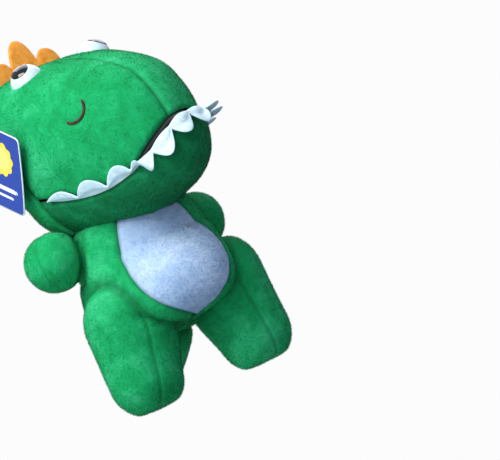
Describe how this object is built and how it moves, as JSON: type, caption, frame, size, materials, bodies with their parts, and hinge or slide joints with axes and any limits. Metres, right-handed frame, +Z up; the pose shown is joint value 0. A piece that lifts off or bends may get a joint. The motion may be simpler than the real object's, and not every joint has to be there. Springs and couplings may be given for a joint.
{
  "type": "stuffed dinosaur",
  "caption": "Plush dinosaur with a big green head, toothy grin, white belly, orange felt crest and plates, stubby arms and legs, a tail, and a hanging ribbon with a suction cup.",
  "frame": {"origin": "on the floor under the middle of the toy, with the soles at z = 0", "axes": "+Z up, -Y the way the toy faces, +X its own left"},
  "size_m": [0.1295, 0.1868, 0.2255],
  "materials": {
    "polyester_fibre": "matte",
    "orange_felt": "matte",
    "white_felt": "matte",
    "black_lining": "matte",
    "white_velboa": "matte",
    "dark_green_velboa": "matte",
    "green_velboa": "matte",
    "dark_thread": "satin",
    "white_plastic": "gloss",
    "black_plastic": "gloss",
    "washer_plastic": "satin",
    "white_satin": "satin",
    "clear_pvc": "gloss",
    "blue_card": "satin",
    "clear_nylon": "gloss"
  },
  "bodies": {
    "torso": {"belly_panel": "white_velboa", "side_panel_right": "green_velboa", "side_panel_left": "green_velboa", "body_stuffing": "polyester_fibre", "spine_plates": "orange_felt"},
    "head": {"head_panel_right": "green_velboa", "head_panel_left": "green_velboa", "head_panel_back": "green_velboa", "jaw_panel": "dark_green_velboa", "mouth_lining": "black_lining", "teeth_strip": "white_felt", "head_crest": "orange_felt", "nostril_right": "dark_thread", "nostril_left": "dark_thread", "eye_dome_right": "white_plastic", "eye_dome_left": "white_plastic", "pupil_right": "black_plastic", "pupil_left": "black_plastic", "eye_washer_right": "washer_plastic", "eye_washer_left": "washer_plastic", "head_stuffing": "polyester_fibre", "tag_fastener": "clear_nylon"},
    "loop": {"hang_ribbon": "white_satin", "suction_cup": "clear_pvc"},
    "tag": {"hang_tag": "blue_card"},
    "label": {"care_label": "white_satin"},
    "tail": {"tail_panel_right": "green_velboa", "tail_panel_left": "green_velboa", "tail_stuffing": "polyester_fibre", "tail_plates": "orange_felt"},
    "arm_right": {"arm_panel_front_right": "green_velboa", "arm_panel_back_right": "green_velboa", "arm_stuffing_right": "polyester_fibre"},
    "leg_right": {"leg_panel_outer_right": "green_velboa", "leg_panel_inner_right": "green_velboa", "leg_stuffing_right": "polyester_fibre"},
    "arm_left": {"arm_panel_front_left": "green_velboa", "arm_panel_back_left": "green_velboa", "arm_stuffing_left": "polyester_fibre"},
    "leg_left": {"leg_panel_outer_left": "green_velboa", "leg_panel_inner_left": "green_velboa", "leg_stuffing_left": "polyester_fibre"}
  },
  "joints": [
    {"name": "neck_turn", "type": "hinge", "parent": "torso", "child": "head", "pos_m": [0, 0.005, 0.085], "axis": [0, 0, 1], "range_deg": [-25, 10], "stiffness_Nm_per_rad": 0.35},
    {"name": "arm_right_swing", "type": "hinge", "parent": "torso", "child": "arm_right", "pos_m": [-0.0355, 0.017, 0.0945], "axis": [0, 0, -1], "range_deg": [0, 60], "stiffness_Nm_per_rad": 0.06},
    {"name": "arm_left_swing", "type": "hinge", "parent": "torso", "child": "arm_left", "pos_m": [0.0355, 0.017, 0.0945], "axis": [0, 0, -1], "range_deg": [0, 60], "stiffness_Nm_per_rad": 0.06},
    {"name": "leg_right_swing", "type": "hinge", "parent": "torso", "child": "leg_right", "pos_m": [-0.029, -0.008, 0.052], "axis": [1, 0, 0], "range_deg": [-15, 15], "stiffness_Nm_per_rad": 6},
    {"name": "leg_left_swing", "type": "hinge", "parent": "torso", "child": "leg_left", "pos_m": [0.029, -0.008, 0.052], "axis": [1, 0, 0], "range_deg": [-15, 15], "stiffness_Nm_per_rad": 6},
    {"name": "tail_wag", "type": "hinge", "parent": "torso", "child": "tail", "pos_m": [0, 0.036, 0.043], "axis": [0, 0, 1], "range_deg": [-15, 15], "stiffness_Nm_per_rad": 0.3},
    {"name": "tag_swing", "type": "hinge", "parent": "head", "child": "tag", "pos_m": [-0.05416, -0.00171, 0.17859], "axis": [0.9848, 0.1736, 0], "range_deg": [-20, 20]},
    {"name": "loop_swing", "type": "hinge", "parent": "head", "child": "loop", "pos_m": [-0.00538, 0.03553, 0.206], "axis": [-0.9848, -0.1736, 0], "range_deg": [-100, 0]},
    {"name": "label_flap", "type": "hinge", "parent": "torso", "child": "label", "pos_m": [0.0075, 0.0507, 0.06001], "axis": [0.0995, 0, 0.995], "range_deg": [-25, 25], "stiffness_Nm_per_rad": 0.004}
  ]
}
